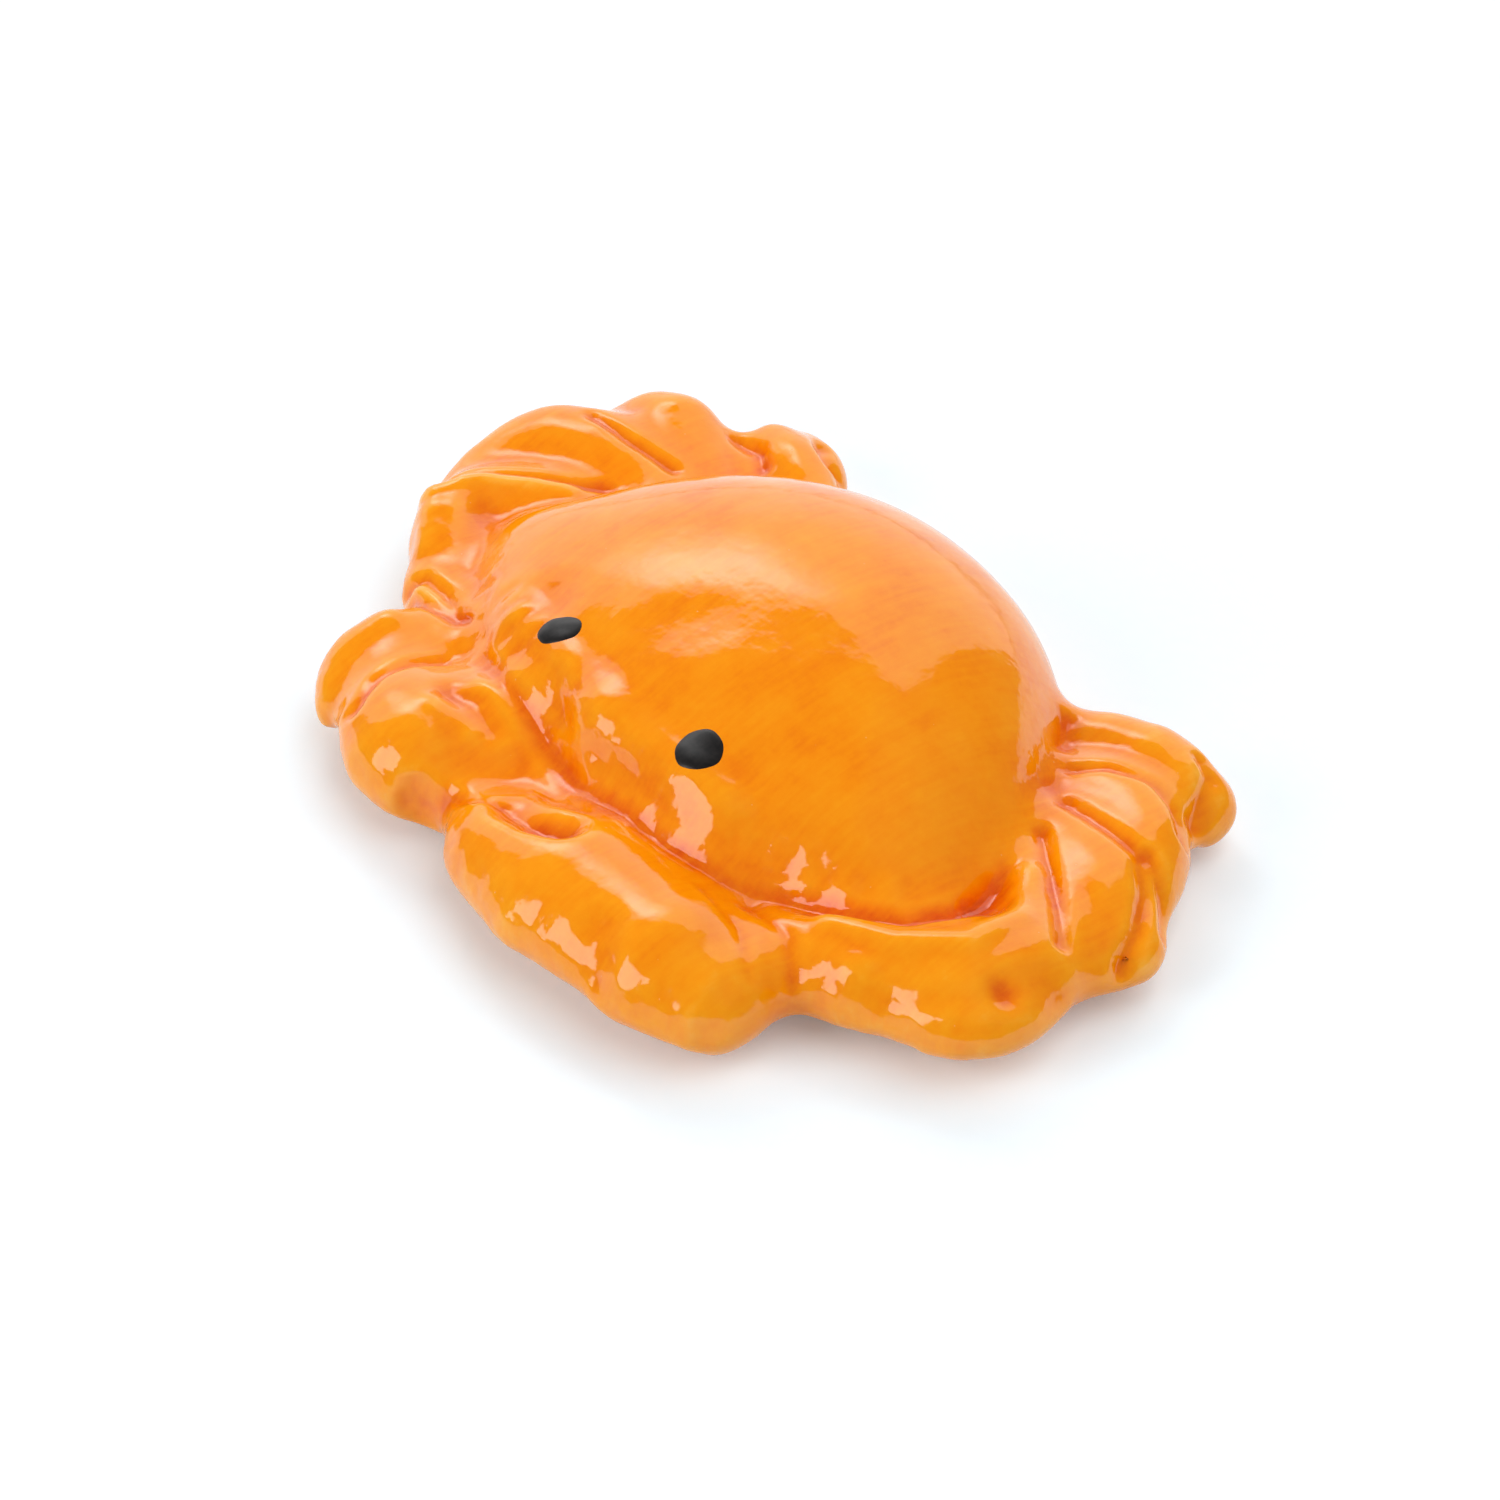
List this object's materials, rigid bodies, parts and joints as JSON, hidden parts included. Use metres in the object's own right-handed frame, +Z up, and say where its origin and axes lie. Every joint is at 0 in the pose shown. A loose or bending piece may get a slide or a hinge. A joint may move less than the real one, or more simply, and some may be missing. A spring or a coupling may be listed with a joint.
{
  "type": "crab figurine",
  "caption": "Glazed pottery crab lying flat, with a domed shell, folded claws and tucked legs, as a shelf or table ornament.",
  "frame": {"origin": "middle of the flat foot that the crab rests on, on the table", "axes": "+Z up, +X towards the crab's own left, -Y towards its face"},
  "size_m": [0.1205, 0.083, 0.0267],
  "materials": {
    "orange_glaze": "gloss",
    "black_glaze": "satin"
  },
  "bodies": {
    "root": {"carapace": "orange_glaze", "belly": "orange_glaze", "left_eye": "black_glaze", "right_eye": "black_glaze", "left_claw_finger": "orange_glaze", "left_claw_thumb": "orange_glaze", "left_palm": "orange_glaze", "left_wrist": "orange_glaze", "left_arm": "orange_glaze", "left_front_leg": "orange_glaze", "left_middle_leg": "orange_glaze", "left_middle_foot": "orange_glaze", "left_rear_leg": "orange_glaze", "left_rear_foot": "orange_glaze", "right_palm": "orange_glaze", "right_claw_thumb": "orange_glaze", "right_wrist": "orange_glaze", "right_forearm": "orange_glaze", "right_upper_arm": "orange_glaze", "right_front_leg": "orange_glaze", "right_middle_leg": "orange_glaze", "right_rear_leg": "orange_glaze", "right_rear_foot": "orange_glaze"}
  },
  "joints": []
}
